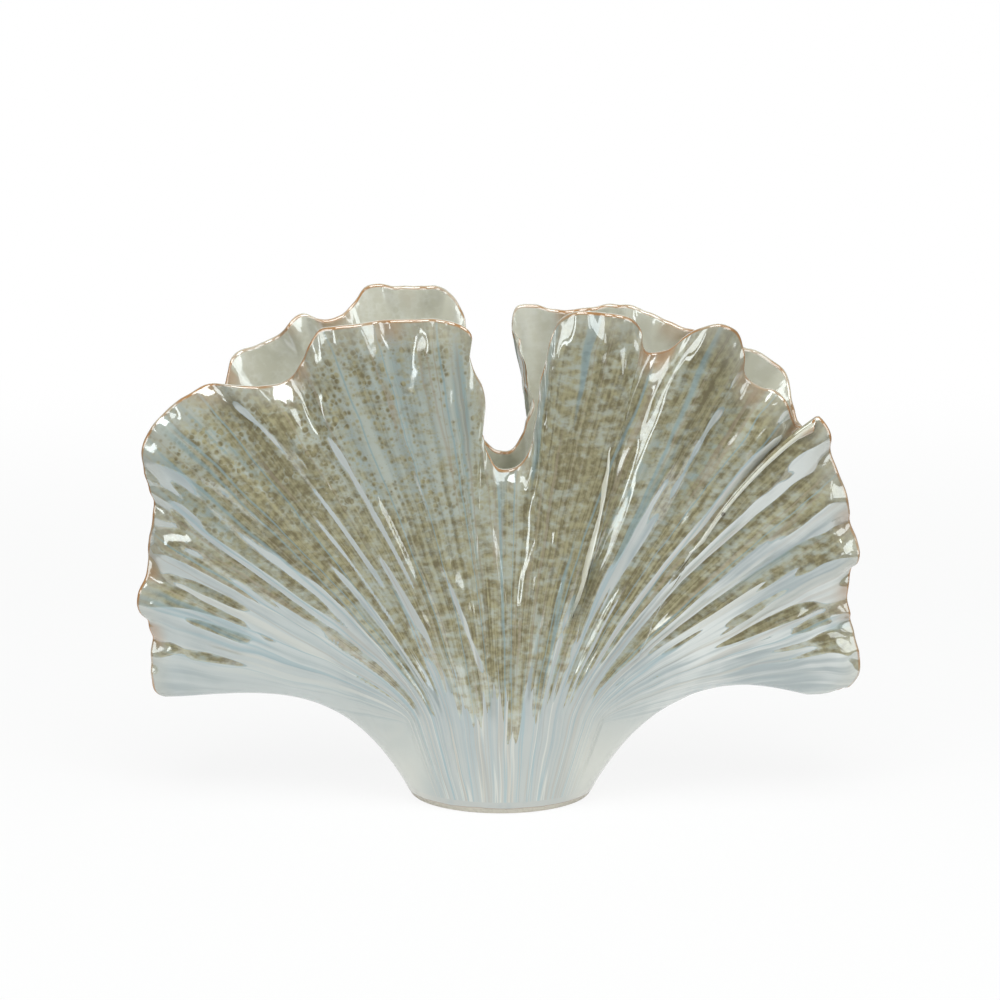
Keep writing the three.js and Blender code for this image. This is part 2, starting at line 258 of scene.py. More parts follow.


# %% [markdown]
# ## Blades
# The ribs of the real vase do not end where the veins of this sheet end. They fan out like field
# lines from a slit: upright at the foot, then straight. Such lines are hyperbolas, and a point's
# place in the fan follows from its distances to the two ends of the slit. Towards the foot the lines
# gather more. The fan angle runs from -90 degrees at the left keel to 90 at the right keel.
# Some ribs stand out, with one steep and one gentle flank, like the blades of a fan. No rule gives
# their places. Points along them were picked in the photo, the slit was fitted to these points,
# and their fan angles were worked out from it, rounded and then changed one by one. Each blade is
# [fan angle, rise] at its lower and upper end, then half the width of the steep flank in degrees and
# the height in tenths of a millimetre.

# %% Blade list
FAN_SLIT = 0.045
FAN_LEVEL = 0.036
FAN_SHIFT = 0.002
FOOT_GATHER = 0.7
GATHER_TOP = 0.07
BLADE_TAPER = 0.06
GENTLE_SHARE = 3.5
BLADES = [
    [-74.0, 0.68, -75.0, 1.10, 1.2, 11], [-68.5, 0.68, -70.0, 1.10, 0.8, 8],
    [-65.5, 0.70, -66.5, 1.10, 0.9, 9], [-62.0, 0.62, -62.5, 0.94, 1.0, 9],
    [-60.0, 0.52, -59.0, 0.96, 1.2, 10], [-55.0, 0.50, -55.5, 0.94, 0.9, 8],
    [-51.0, 0.25, -49.0, 0.56, 1.4, 9], [-42.0, 0.28, -43.0, 0.62, 1.2, 9],
    [-38.5, 0.42, -39.0, 0.70, 0.7, 7], [-35.5, 0.57, -37.5, 1.10, 0.9, 13],
    [-33.0, 0.60, -35.0, 0.90, 0.7, 10], [-32.0, 0.70, -32.4, 0.84, 0.5, 8],
    [-34.8, 0.84, -35.2, 0.98, 2.6, 24], [-29.6, 0.40, -32.0, 0.58, 1.0, 8],
    [-27.5, 0.50, -30.0, 1.10, 0.8, 13], [-11.5, 0.40, -20.0, 0.60, 2.0, 9],
    [-17.2, 0.66, -18.2, 0.82, 0.6, 10], [-9.7, 0.50, -9.6, 0.92, 0.7, 8],
    [0.8, 0.52, -2.9, 0.84, 0.6, 5], [13.3, 0.45, 13.4, 0.62, 0.7, 6],
    [24.0, 0.58, 22.3, 0.87, 0.8, 9], [28.0, 0.52, 25.2, 0.86, 1.1, 10],
    [31.2, 0.50, 29.0, 0.87, 1.4, 9], [34.7, 0.34, 34.5, 0.52, 0.6, 6],
    [36.3, 0.75, 40.0, 0.97, 0.9, 8], [36.0, 0.84, 36.8, 1.10, 0.7, 7],
    [40.0, 0.28, 41.0, 1.10, 1.2, 9], [43.8, 0.45, 43.1, 0.66, 0.7, 6],
    [43.1, 0.30, 48.0, 0.97, 1.0, 9], [54.0, 0.34, 51.3, 0.83, 1.0, 9],
    [53.5, 0.45, 56.0, 1.10, 1.3, 11], [58.5, 0.55, 58.0, 0.88, 0.7, 7],
    [60.5, 0.72, 59.0, 0.89, 0.6, 6], [66.0, 0.58, 63.7, 0.89, 1.0, 9],
    [69.0, 0.60, 69.5, 0.95, 0.7, 7], [73.0, 0.60, 73.0, 1.10, 1.0, 10],
]


def smooth_step(value, start, end):
    share = np.clip((value - start) / (end - start), 0, 1)
    return share**2 * (3 - 2 * share)


def fan_angle(place):
    gather = np.maximum(1 - place[..., 2] / GATHER_TOP, 0) ** 2
    x = (place[..., 0] - FAN_SHIFT) * (1 + FOOT_GATHER * gather)
    z = np.maximum(place[..., 2] - FAN_LEVEL, 0)
    gap = np.hypot(x + FAN_SLIT, z) - np.hypot(x - FAN_SLIT, z)
    return np.degrees(np.arcsin(np.clip(gap / (2 * FAN_SLIT), -1, 1)))


def blade_relief(fan, rise):
    relief = np.zeros_like(fan)
    for low_angle, low_rise, high_angle, high_rise, width, height in BLADES:
        share = np.clip((rise - low_rise) / (high_rise - low_rise), 0, 1)
        outwards = (fan - low_angle - (high_angle - low_angle) * share) * np.sign(low_angle)
        steep = smooth_step(outwards, width, -width)
        gentle = smooth_step(outwards, -width * (1 + GENTLE_SHARE), -width)
        starts = smooth_step(rise, low_rise - BLADE_TAPER, low_rise + BLADE_TAPER)
        ends = smooth_step(rise, high_rise + BLADE_TAPER, high_rise - BLADE_TAPER)
        relief += height / 10000 * steep * gentle * starts * ends
    return relief


print("blades:", len(BLADES))

# %% [markdown]
# ## From sheet to wall
# A wall has an outside, a rounded lip and an inside. The grid below runs up the outside, over the
# lip and down the inside of every vein, so the wall closes on itself. It still lies on the sheet:
# each point only carries, as attributes, how deep it belongs (depth), how far over the lip (crown),
# and which way is outwards (out) and upwards (climb). The next step moves the points.
# Columns crowd together at the two corners and in the middle notch, where the rim turns sharply.

# %% Wall grid
COLUMNS = 680
OUTER_ROWS = 100
LIP_ROWS = 8
INNER_ROWS = 34
CROWDING = 0.6
FLAT_BASE = 0.15


def wall_grid(name, outline, side):
    step = np.linspace(0, 1, COLUMNS + 1)
    along = step - CROWDING * np.sin(4 * math.pi * step) / (4 * math.pi)
    bend = np.linspace(0, math.pi, LIP_ROWS + 2)[1:-1]
    inner_rise = np.linspace(1, 0, INNER_ROWS + 1)
    rise = np.concatenate([np.linspace(0, 1, OUTER_ROWS + 1), np.ones(LIP_ROWS), inner_rise])
    depth = np.concatenate(
        [np.zeros(OUTER_ROWS + 1), RIM / 2 * (1 - np.cos(bend)), WALL + (RIM - WALL) * inner_rise]
    )
    crown = np.concatenate(
        [np.zeros(OUTER_ROWS + 1), RIM / 2 * np.sin(bend), np.zeros(INNER_ROWS + 1)]
    )
    inside = np.concatenate(
        [np.zeros(OUTER_ROWS + 1), bend / math.pi, np.ones(INNER_ROWS + 1)]
    )
    place, out, climb, wave, fold = fan_sheet(outline, side, along, rise)
    fan = fan_angle(place) * -side
    level = np.where(inside == 1, np.clip(rise / FLAT_BASE, 0, 1), 1)
    out[..., 2] *= level[:, None]
    out /= np.linalg.norm(out, axis=-1, keepdims=True)

    rows = len(rise)
    index = np.arange(rows * (COLUMNS + 1)).reshape(rows, COLUMNS + 1)
    above = np.roll(index, -1, axis=0)
    quads = np.stack(
        [index[:, :-1], index[:, 1:], above[:, 1:], above[:, :-1]], axis=-1
    ).reshape(-1, 4)
    if side > 0:
        quads = quads[:, ::-1]
    caps = [index[:, 0], index[::-1, -1]]
    if side > 0:
        caps = [cap[::-1] for cap in caps]
    mesh = bpy.data.meshes.new(name)
    mesh.from_pydata(place.reshape(-1, 3), [], quads.tolist() + [cap.tolist() for cap in caps])

    grid = np.ones((rows, COLUMNS + 1))
    floats = {
        "along": grid * along,
        "fan": fan / 180 + 0.5,
        "blade": blade_relief(fan, grid * rise[:, None]),
        "rise": grid * rise[:, None],
        "wave": grid * wave,
        "fold": grid * fold,
        "depth": grid * depth[:, None],
        "crown": grid * crown[:, None],
        "inside": grid * inside[:, None],
    }
    for key, values in floats.items():
        layer = mesh.attributes.new(key, "FLOAT", "POINT")
        layer.data.foreach_set("value", values.astype(np.float32).ravel())
    for key, values in {"out": out, "climb": climb}.items():
        layer = mesh.attributes.new(key, "FLOAT_VECTOR", "POINT")
        layer.data.foreach_set("vector", values.astype(np.float32).ravel())
    piece = bpy.data.objects.new(name, mesh)
    bpy.context.scene.collection.objects.link(piece)
    print(name, "grid:", rows, "rows by", COLUMNS + 1, "columns")
    return piece


# %% [markdown]
# ## Small helpers for node trees
# Geometry trees and material trees share their maths nodes. These helpers add one node each and
# return its output, so a formula in a tree reads almost like a formula in text.

# %% Node helpers
def wire(tree, value, socket):
    if isinstance(value, bpy.types.NodeSocket):
        tree.links.new(value, socket)
    else:
        socket.default_value = value


def calc(tree, operation, *values):
    node = tree.nodes.new("ShaderNodeMath")
    node.operation = operation
    for value, socket in zip(values, node.inputs):
        wire(tree, value, socket)
    return node.outputs[0]


def times(tree, first, second):
    return calc(tree, "MULTIPLY", first, second)


def plus(tree, first, second):
    return calc(tree, "ADD", first, second)


def minus(tree, first, second):
    return calc(tree, "SUBTRACT", first, second)


def times_plus(tree, first, second, third):
    return calc(tree, "MULTIPLY_ADD", first, second, third)


def larger(tree, first, second):
    return calc(tree, "MAXIMUM", first, second)


def away_from(tree, value, level):
    return calc(tree, "ABSOLUTE", minus(tree, value, level))


def ease(tree, value, start, end, low=0.0, high=1.0):
    node = tree.nodes.new("ShaderNodeMapRange")
    node.interpolation_type = "SMOOTHSTEP"
    for amount, socket in zip((value, start, end, low, high), node.inputs):
        wire(tree, amount, socket)
    return node.outputs[0]


def vector(tree, x, y, z):
    node = tree.nodes.new("ShaderNodeCombineXYZ")
    for amount, socket in zip((x, y, z), node.inputs):
        wire(tree, amount, socket)
    return node.outputs[0]


def split(tree, place):
    node = tree.nodes.new("ShaderNodeSeparateXYZ")
    tree.links.new(place, node.inputs[0])
    return node.outputs


def noise(tree, place, scale=1.0, detail=2.0, distortion=0.0):
    node = tree.nodes.new("ShaderNodeTexNoise")
    wire(tree, place, node.inputs["Vector"])
    node.inputs["Scale"].default_value = scale
    node.inputs["Detail"].default_value = detail
    node.inputs["Distortion"].default_value = distortion
    return node.outputs[0]


# %% [markdown]
# ## Pressing the flutes
# On the real vase, ribs fan out from the foot, never quite evenly. They could be sculpted one by one,
# but they follow the surface, so Geometry Nodes press them into the grid: a cosine across the fan
# gives the ribs, noise lets them drift and fade, and a second, finer set gives the drawn streaks in
# the clay. The same tree adds the blades, ruffles, pinches and curls the rim, gives the wall its
# thickness and rounds the lip.

# %% Flute sizes
FLUTE_INPUTS = {
    "Flutes": 18.0,
    "Blades": 1.3,
    "Flute height": 0.0008,
    "Flute drift": 2.0,
    "Streaks": 40.0,
    "Streak height": 0.0003,
    "Streak drift": 3.2,
    "Unevenness": 0.0009,
    "Pinches": 46.0,
    "Pinch height": 0.006,
    "Lip curl": 0.0024,
    "Ruffle fade": RUFFLE_FADE,
    "Fold fade": FOLD_FADE,
    "Seed": 3.0,
    "Side": -1.0,
}
BROAD_RIBS = {"spread": 7.0, "breaks": 1.0, "faint": 0.2}
FINE_RIBS = {"spread": 16.0, "breaks": 2.2, "faint": 0.0}
RIB_ROUNDING = 0.8
FINE_IN_CREST = 0.25
SEED_STEP = 11.0


def named(tree, key, data_type="FLOAT"):
    node = tree.nodes.new("GeometryNodeInputNamedAttribute")
    node.data_type = data_type
    node.inputs["Name"].default_value = key
    return node.outputs[0]


def rib_set(tree, fan, rise, count, drift, seed, spread, breaks, faint):
    across = times(tree, fan, spread)
    wander = noise(tree, vector(tree, across, rise, seed), 1.0, 1.0)
    shift = times(tree, minus(tree, wander, 0.5), drift)
    phase = times(tree, times_plus(tree, fan, count, shift), 2 * math.pi)
    ridge = times_plus(tree, calc(tree, "COSINE", phase), 0.5, 0.5)
    rounded = times_plus(tree, calc(tree, "POWER", ridge, RIB_ROUNDING), 2.0, -1.0)
    broken = times(tree, rise, breaks)
    patch = noise(tree, vector(tree, across, broken, plus(tree, seed, 5.0)), 1.6, 1.0)
    return times(tree, rounded, ease(tree, patch, 0.36, 0.64, faint, 1.0))


def ribs_and_streaks(tree, given, fan, rise, later):
    count, drift, seed = given["Flutes"], given["Flute drift"], given["Seed"]
    broad = rib_set(tree, fan, rise, count, drift, seed, **BROAD_RIBS)
    count, drift = given["Streaks"], given["Streak drift"]
    fine = rib_set(tree, fan, rise, count, drift, later, **FINE_RIBS)
    fine = times(tree, fine, ease(tree, rise, 0.1, 0.5, 0.25, 1.0))
    ribs = times(tree, broad, given["Flute height"])
    ribs = times_plus(tree, fine, given["Streak height"], ribs)
    return ribs, times_plus(tree, fine, FINE_IN_CREST, broad)


print("flute inputs:", ", ".join(FLUTE_INPUTS))

# %% [markdown]
# The rim of the real vase was waved, pinched between thumb and finger, and here and there curled
# inwards, and the wall kept small dents from the hands. Each of these is a push along the wall's
# outward direction that fades away from where it belongs.

# %% Rim and hand marks
PINCH_STRETCH = 7.0
DENT_SCALE = 60.0
DENT_RISE = (0.15, 0.4)
CURL_STEEPNESS = 22.0
CURLS = 44.0


def rim_waves(tree, given, rise):
    ruffle = times(tree, named(tree, "wave"), calc(tree, "POWER", rise, given["Ruffle fade"]))
    fold = times(tree, named(tree, "fold"), calc(tree, "POWER", rise, given["Fold fade"]))
    return plus(tree, ruffle, fold)


def thumb_pinches(tree, given, along, rise, later):
    around = times(tree, along, given["Pinches"])
    place = vector(tree, around, times(tree, rise, PINCH_STRETCH), later)
    return times(tree, minus(tree, noise(tree, place, 1.0, 1.0), 0.5), given["Pinch height"])


def hand_dents(tree, given, rise, at_keel):
    place = tree.nodes.new("GeometryNodeInputPosition").outputs[0]
    dent = minus(tree, noise(tree, place, DENT_SCALE, 1.0), 0.5)
    dent = times(tree, times(tree, dent, given["Unevenness"]), at_keel)
    return times(tree, dent, ease(tree, rise, *DENT_RISE))


def lip_curl(tree, given, along, rise, later):
    over = larger(tree, times_plus(tree, rise, CURL_STEEPNESS, 1 - CURL_STEEPNESS), 0.0)
    curl = times(tree, calc(tree, "POWER", over, 2.0), given["Lip curl"])
    thumb = noise(tree, vector(tree, times(tree, along, CURLS), 0.0, later), 1.0, 1.0)
    return times(tree, curl, ease(tree, thumb, 0.42, 0.64, 0.0, 1.3))


print("curl places along one rim:", round(CURLS))

# %% [markdown]
# The tree adds these pushes up, moves the grid, and keeps each wall on its own side of the keel. It
# stores the rib height as "crest", because glaze runs thin on ribs and pools between them, and how
# far the clay looks upwards as "facing", which the glaze uses to paint a reflection of the white
# table onto flanks that look down.

# %% Flute tree
KEEL_FADE = 0.035
FOOT_FADE = 0.1
LIP_FADE = (0.82, 0.98)
NEAR_RIM = (0.8, 1.0)
RIBS_AT_LIP = 0.25
RIBS_AT_FOOT = 0.22
RIM_STEP = 0.4


def open_tree(tree):
    for way in ("INPUT", "OUTPUT"):
        tree.interface.new_socket("Geometry", in_out=way, socket_type="NodeSocketGeometry")
    for key, amount in FLUTE_INPUTS.items():
        socket = tree.interface.new_socket(key, in_out="INPUT", socket_type="NodeSocketFloat")
        socket.default_value = amount
    return tree.nodes.new("NodeGroupInput").outputs


def scaled(tree, key, amount):
    node = tree.nodes.new("ShaderNodeVectorMath")
    node.operation = "SCALE"
    tree.links.new(named(tree, key, "FLOAT_VECTOR"), node.inputs[0])
    wire(tree, amount, node.inputs["Scale"])
    return node.outputs[0]


def stored(tree, clay, key, value):
    node = tree.nodes.new("GeometryNodeStoreNamedAttribute")
    node.data_type = "FLOAT"
    node.inputs["Name"].default_value = key
    tree.links.new(clay, node.inputs["Geometry"])
    tree.links.new(value, node.inputs["Value"])
    return node.outputs["Geometry"]


def moved(tree, clay, key, value):
    node = tree.nodes.new("GeometryNodeSetPosition")
    tree.links.new(clay, node.inputs["Geometry"])
    tree.links.new(value, node.inputs[key])
    return node.outputs["Geometry"]


def own_side(tree, side):
    x, y, z = split(tree, tree.nodes.new("GeometryNodeInputPosition").outputs[0])
    kept = times(tree, larger(tree, times(tree, y, side), 0.0), side)
    return vector(tree, x, kept, z)


def flute_tree(finish):
    tree = bpy.data.node_groups.new("flute_press", "GeometryNodeTree")
    given = open_tree(tree)
    along, rise, fan = named(tree, "along"), named(tree, "rise"), named(tree, "fan")
    later = plus(tree, given["Seed"], SEED_STEP)
    at_keel = ease(tree, minus(tree, 0.5, away_from(tree, along, 0.5)), 0.0, KEEL_FADE)
    at_lip = ease(tree, rise, *LIP_FADE, 1.0, RIBS_AT_LIP)
    near_rim = ease(tree, rise, *NEAR_RIM)
    growth = times_plus(tree, rise, 1 - RIBS_AT_FOOT, RIBS_AT_FOOT)
    for fade in (at_keel, ease(tree, rise, 0.0, FOOT_FADE), at_lip):
        growth = times(tree, growth, fade)

    ribs, crest = ribs_and_streaks(tree, given, fan, rise, later)
    blade = times(tree, times(tree, named(tree, "blade"), given["Blades"]), at_keel)
    pinch = times(tree, thumb_pinches(tree, given, along, rise, later), at_keel)
    swell = times_plus(tree, ribs, growth, rim_waves(tree, given, rise))
    swell = plus(tree, swell, times(tree, blade, at_lip))
    swell = times_plus(tree, pinch, near_rim, swell)
    swell = plus(tree, swell, hand_dents(tree, given, rise, at_keel))
    swell = minus(tree, swell, lip_curl(tree, given, along, rise, later))
    outward = minus(tree, swell, named(tree, "depth"))
    rim_step = times(tree, times(tree, pinch, near_rim), RIM_STEP)
    upward = plus(tree, rim_step, named(tree, "crown"))
    push = tree.nodes.new("ShaderNodeVectorMath")
    tree.links.new(scaled(tree, "out", outward), push.inputs[0])
    tree.links.new(scaled(tree, "climb", upward), push.inputs[1])

    clay = stored(tree, given["Geometry"], "crest", crest)
    clay = moved(tree, clay, "Offset", push.outputs[0])
    clay = moved(tree, clay, "Position", own_side(tree, given["Side"]))
    normal = tree.nodes.new("GeometryNodeInputNormal").outputs[0]
    clay = stored(tree, clay, "facing", split(tree, normal)[2])
    whole = tree.nodes.new("GeometryNodeRealizeInstances")
    tree.links.new(clay, whole.inputs[0])
    coat = tree.nodes.new("GeometryNodeSetMaterial")
    coat.inputs["Material"].default_value = finish
    tree.links.new(whole.outputs[0], coat.inputs["Geometry"])
    tree.links.new(coat.outputs[0], tree.nodes.new("NodeGroupOutput").inputs[0])
    print("flute tree nodes:", len(tree.nodes))
    return tree


def press_flutes(piece, tree, **changed):
    modifier = piece.modifiers.new("flutes", "NODES")
    modifier.node_group = tree
    for socket in tree.interface.items_tree:
        if socket.in_out == "INPUT" and socket.name in FLUTE_INPUTS:
            modifier[socket.identifier] = changed.get(socket.name, FLUTE_INPUTS[socket.name])
    graph = bpy.context.evaluated_depsgraph_get()
    pressed = bpy.data.meshes.new_from_object(
        piece.evaluated_get(graph), preserve_all_data_layers=True, depsgraph=graph
    )
    piece.modifiers.clear()
    piece.data = pressed
    pressed.name = piece.name
    print(piece.name, "faces:", len(pressed.polygons))


# %% [markdown]
# ## One surface across the keel
# The fired vase shows no seam where its two walls meet, but two separate meshes would shade as if
# it had a crease there. Joining them would lose the two pieces, so along the keel both meshes get the
# same normal instead, lying in the plane between them. The hidden joint faces stay flat, and the
# edges of the joint and of the base stay sharp.

# %% Keel shading
TOUCH = 1e-6


def read_values(items, key, count, kind=np.float64):
    values = np.empty(count, dtype=kind)
    items.foreach_get(key, values)
    return values


def smooth_over_keel(piece):
    mesh = piece.data
    points = read_values(mesh.vertices, "co", len(mesh.vertices) * 3)
    mesh.vertices.foreach_set("co", (points.reshape(-1, 3) + SHIFT).ravel())
    sides = read_values(mesh.polygons, "loop_total", len(mesh.polygons), np.int32)
    mesh.polygons.foreach_set("use_smooth", sides == 4)
    along = read_values(mesh.attributes["along"].data, "value", len(mesh.vertices))
    rise = read_values(mesh.attributes["rise"].data, "value", len(mesh.vertices))
    at_keel = (along < TOUCH) | (along > 1 - TOUCH)
    pairs = read_values(mesh.edges, "vertices", len(mesh.edges) * 2, np.int32).reshape(-1, 2)
    sharp = at_keel[pairs].all(axis=1) | (rise[pairs] < TOUCH).all(axis=1)
    mesh.attributes.new("sharp_edge", "BOOLEAN", "EDGE").data.foreach_set("value", sharp)
    mesh.update()
    normals = read_values(mesh.corner_normals, "vector", len(mesh.loops) * 3).reshape(-1, 3)
    corner = read_values(mesh.loops, "vertex_index", len(mesh.loops), np.int32)
    in_cap = np.repeat(sides > 4, sides)
    shared = at_keel[corner] & ~in_cap
    normals[shared, 1] = 0
    normals[shared] /= np.linalg.norm(normals[shared], axis=1, keepdims=True)
    mesh.normals_split_custom_set(normals.tolist())
    print(piece.name, "keel corners smoothed:", int(shared.sum()))


# %% [markdown]
# ## The glaze
# The glaze is a glossy reactive one: a grey-blue celadon ground, olive-brown spots and soft smears
# that float on it, blue-green where it pools between ribs, brown where it breaks over the rim, and
# pale low down and on the flanks that look down. Low down the pale is partly the glaze's own colour
# and partly a painted reflection of the white table; on the flanks that look down it is a painted
# reflection. It could be painted as a picture, but a picture blurs up close. Here each of these is a
# mask from the wall's own attributes or from noise in object space, and the masks mix colours one
# after another.

# %% Glaze helpers
def new_material(name):
    material = bpy.data.materials.new(name)
    material.use_nodes = True
    tree = material.node_tree
    return material, tree, tree.nodes["Principled BSDF"]


def attribute(tree, key):
    node = tree.nodes.new("ShaderNodeAttribute")
    node.attribute_name = key
    return node.outputs["Fac"]


def object_place(tree):
    return tree.nodes.new("ShaderNodeTexCoord").outputs["Object"]


def reach_from(tree, place, point):
    node = tree.nodes.new("ShaderNodeVectorMath")
    node.operation = "DISTANCE"
    tree.links.new(place, node.inputs[0])
    node.inputs[1].default_value = point
    return node.outputs["Value"]


def blend(tree, amount, first, second):
    node = tree.nodes.new("ShaderNodeMix")
    node.data_type = "RGBA"
    wire(tree, amount, node.inputs[0])
    for colour, socket in ((first, node.inputs[6]), (second, node.inputs[7])):
        if not isinstance(colour, bpy.types.NodeSocket):
            colour = (*colour, 1.0)
        wire(tree, colour, socket)
    return node.outputs[2]


def wash(tree, colour, mask, strength, tint):
    return blend(tree, times(tree, mask, strength), colour, tint)


def bump(tree, height, distance):
    node = tree.nodes.new("ShaderNodeBump")
    node.inputs["Strength"].default_value = 1.0
    node.inputs["Distance"].default_value = distance
    tree.links.new(height, node.inputs["Height"])
    return node.outputs["Normal"]


# %% Glaze colours
CELADON = (0.50, 0.53, 0.47)
BLUE_GREY = (0.37, 0.425, 0.41)
OLIVE = (0.17, 0.125, 0.04)
LIGHT_OLIVE = (0.43, 0.38, 0.20)
POOL_TEAL = (0.30, 0.39, 0.39)
LINE_BLUE = (0.27, 0.40, 0.44)
LINE_BROWN = (0.40, 0.32, 0.23)
RIM_BROWN = (0.46, 0.23, 0.085)
LIP_CREAM_AND_SHEEN = (0.55, 0.53, 0.445)
PALE_FOOT = (0.455, 0.47, 0.445)
PALE_BLUE = (0.36, 0.41, 0.415)
PALE_LEFT = (0.54, 0.575, 0.56)
PALE_RIGHT_LIT = (0.76, 0.775, 0.745)
PALE_CREAM = (0.68, 0.665, 0.59)
INSIDE_PALE = (0.815, 0.805, 0.715)
PIT_BROWN = (0.1, 0.07, 0.04)
GLAZE_IOR = 2.4
GLAZE_TINT = (0.92, 0.98, 1.0, 1.0)
GLAZE_ROUGHNESS = (0.05, 0.11)
SKIN_DEPTH = 0.0002

# %% [markdown]
# ### What the masks read
# Fired glaze shows how it ran: streaks, hairlines and fine coloured lines follow the ribs. All masks
# read the same few fields, made once: where a point is, how far across and up the fan, and noises
# drawn out along the ribs. A slow sway keeps the lines from being ruler-straight. A drawn noise is
# [count across the fan, stretch, seed], and a set of thin lines is [count, seed, strength].

# %% Fields on the wall
WALL_ATTRIBUTES = ("fan", "rise", "crest", "inside", "facing", "fold")
SWAY_SCALE = 55.0
SWAY_HEIGHTS = (0.09, 0.03)
SWAY_AMOUNTS = (0.006, 0.016)
STREAKS = (110.0, 1.8, 1.0)
HAIRS = (320.0, 2.6, 4.0)
LINE_STRETCH = 0.4
LINE_WIDTH = (0.017, 0.003)
LINE_ENDS = (0.47, 0.4)


def drawn(on, count, stretch, seed):
    across = times(on.tree, on.wavy, count)
    return noise(on.tree, vector(on.tree, across, times(on.tree, on.rise, stretch), seed))


def with_lines(on, colour, lines, tint):
    count, seed, strength = lines
    off = away_from(on.tree, drawn(on, count, LINE_STRETCH, seed), 0.5)
    fades = ease(on.tree, away_from(on.tree, on.fan, 0.5), *LINE_ENDS)
    mask = times(on.tree, ease(on.tree, off, *LINE_WIDTH), fades)
    return wash(on.tree, colour, mask, strength, tint)


def wall_fields(tree):
    on = SimpleNamespace(tree=tree, place=object_place(tree))
    on.x, on.y, on.height = split(tree, on.place)
    for key in WALL_ATTRIBUTES:
        setattr(on, key, attribute(tree, key))
    sway = minus(tree, noise(tree, on.place, SWAY_SCALE, 1.0), 0.5)
    amount = ease(tree, on.height, *SWAY_HEIGHTS, *SWAY_AMOUNTS)
    on.wavy = times_plus(tree, sway, amount, on.fan)
    on.streak = drawn(on, *STREAKS)
    on.hair = drawn(on, *HAIRS)
    on.cloud = noise(tree, on.place, 24.0, 3.0, 0.3)
    on.grain = noise(tree, on.place, 420.0, 2.0)
    on.pool = ease(tree, on.crest, -0.3, -0.95)
    return on


# %% [markdown]
# ### Ground and olive spray
# The olive lies in spots of two sizes and in soft level smears. It is thicker to the right, thinner
# in pools and in one thin patch at the upper left, where the ground shows through.

# %% Ground and olive spray
THIN_PATCH = (-0.039, -0.03, 0.157)
THIN_REACH = (0.05, 0.015)
SPRAY_SIDES = (-0.06, 0.06)
SPRAY_LEVELS = (0.2, 0.46)
SPRAY_START = (0.005, 0.02)
BIG_SPOTS = 410.0
SMALL_SPOTS = 760.0
SPOT_SIZE = 0.62
SMALLER = -0.12
SPOT_EDGE = (-0.24, 0.3)
SMALL_STRENGTH = 0.6
SMEAR_SCALE = 330.0
SMEAR_STRETCH = 0.6
OLIVE_STRENGTH = 0.9
POOL_STRENGTH = 0.8
BROWN_LINES = (50.0, 14.0, 0.45)


def spots(on, scale, size):
    tree = on.tree
    node = tree.nodes.new("ShaderNodeTexVoronoi")
    node.inputs["Scale"].default_value = scale
    tree.links.new(on.place, node.inputs["Vector"])
    own = times_plus(tree, node.outputs["Color"], 1.0, 0.5)
    near = minus(tree, times(tree, size, own), node.outputs["Distance"])
    return ease(tree, near, *SPOT_EDGE)


def ground_colour(on):
    ground = blend(on.tree, ease(on.tree, on.streak, 0.42, 0.66), CELADON, BLUE_GREY)
    teal = times(on.tree, on.pool, ease(on.tree, on.hair, 0.4, 0.62))
    return wash(on.tree, ground, teal, POOL_STRENGTH, POOL_TEAL)


def spray_density(on):
    tree = on.tree
    thin = ease(tree, reach_from(tree, on.place, THIN_PATCH), *THIN_REACH)
    density = ease(tree, on.x, *SPRAY_SIDES, *SPRAY_LEVELS)
    streak = minus(tree, on.streak, 0.5)
    for field, share in ((on.cloud, 1.6), (streak, 1.4), (on.pool, -0.3), (thin, -0.65)):
        density = times_plus(tree, field, share, density)
    return times(tree, density, ease(tree, on.height, *SPRAY_START))


def olive_spots(on):
    tree = on.tree
    density = spray_density(on)
    big = spots(on, BIG_SPOTS, times(tree, density, SPOT_SIZE))
    small = spots(on, SMALL_SPOTS, times_plus(tree, density, SPOT_SIZE, SMALLER))
    dots = larger(tree, big, times(tree, small, SMALL_STRENGTH))
    dots = times(tree, dots, ease(tree, on.height, 0.06, 0.14, 0.3, 1.0))
    dots = times(tree, dots, ease(tree, on.x, 0.03, -0.03, 0.4, 1.0))
    level = vector(tree, times(tree, on.x, SMEAR_STRETCH), on.y, on.height)
    smear = times_plus(tree, density, 0.4, noise(tree, level, SMEAR_SCALE, 3.0))
    return larger(tree, dots, ease(tree, smear, 0.6, 1.08))


def olive_coat(on, spot):
    tree = on.tree
    mottle = times_plus(tree, on.hair, 0.5, times(tree, on.grain, 0.5))
    mottle = times_plus(tree, spot, -0.16, mottle)
    tone = blend(tree, ease(tree, mottle, 0.2, 0.52), OLIVE, LIGHT_OLIVE)
    colour = wash(tree, ground_colour(on), spot, OLIVE_STRENGTH, tone)
    return with_lines(on, colour, BROWN_LINES, LINE_BROWN)


# %% [markdown]
# ### Pale runs and painted table reflection
# Low on the leaf and on flanks that look down there is no olive, only pale. Low down this is partly
# the pale glaze itself and partly a painted reflection of the white table; on flanks that look down it
# is a painted reflection of the table. The pale is lighter towards the sides, and most of all at the
# right, which is painted light, and cream at the two ends of the foot. Above the foot the olive ends
# in ragged drips, which also give the ragged edge of that painted reflection. A height alone would
# end it in a level line, so noise moves that height up and down across the fan.

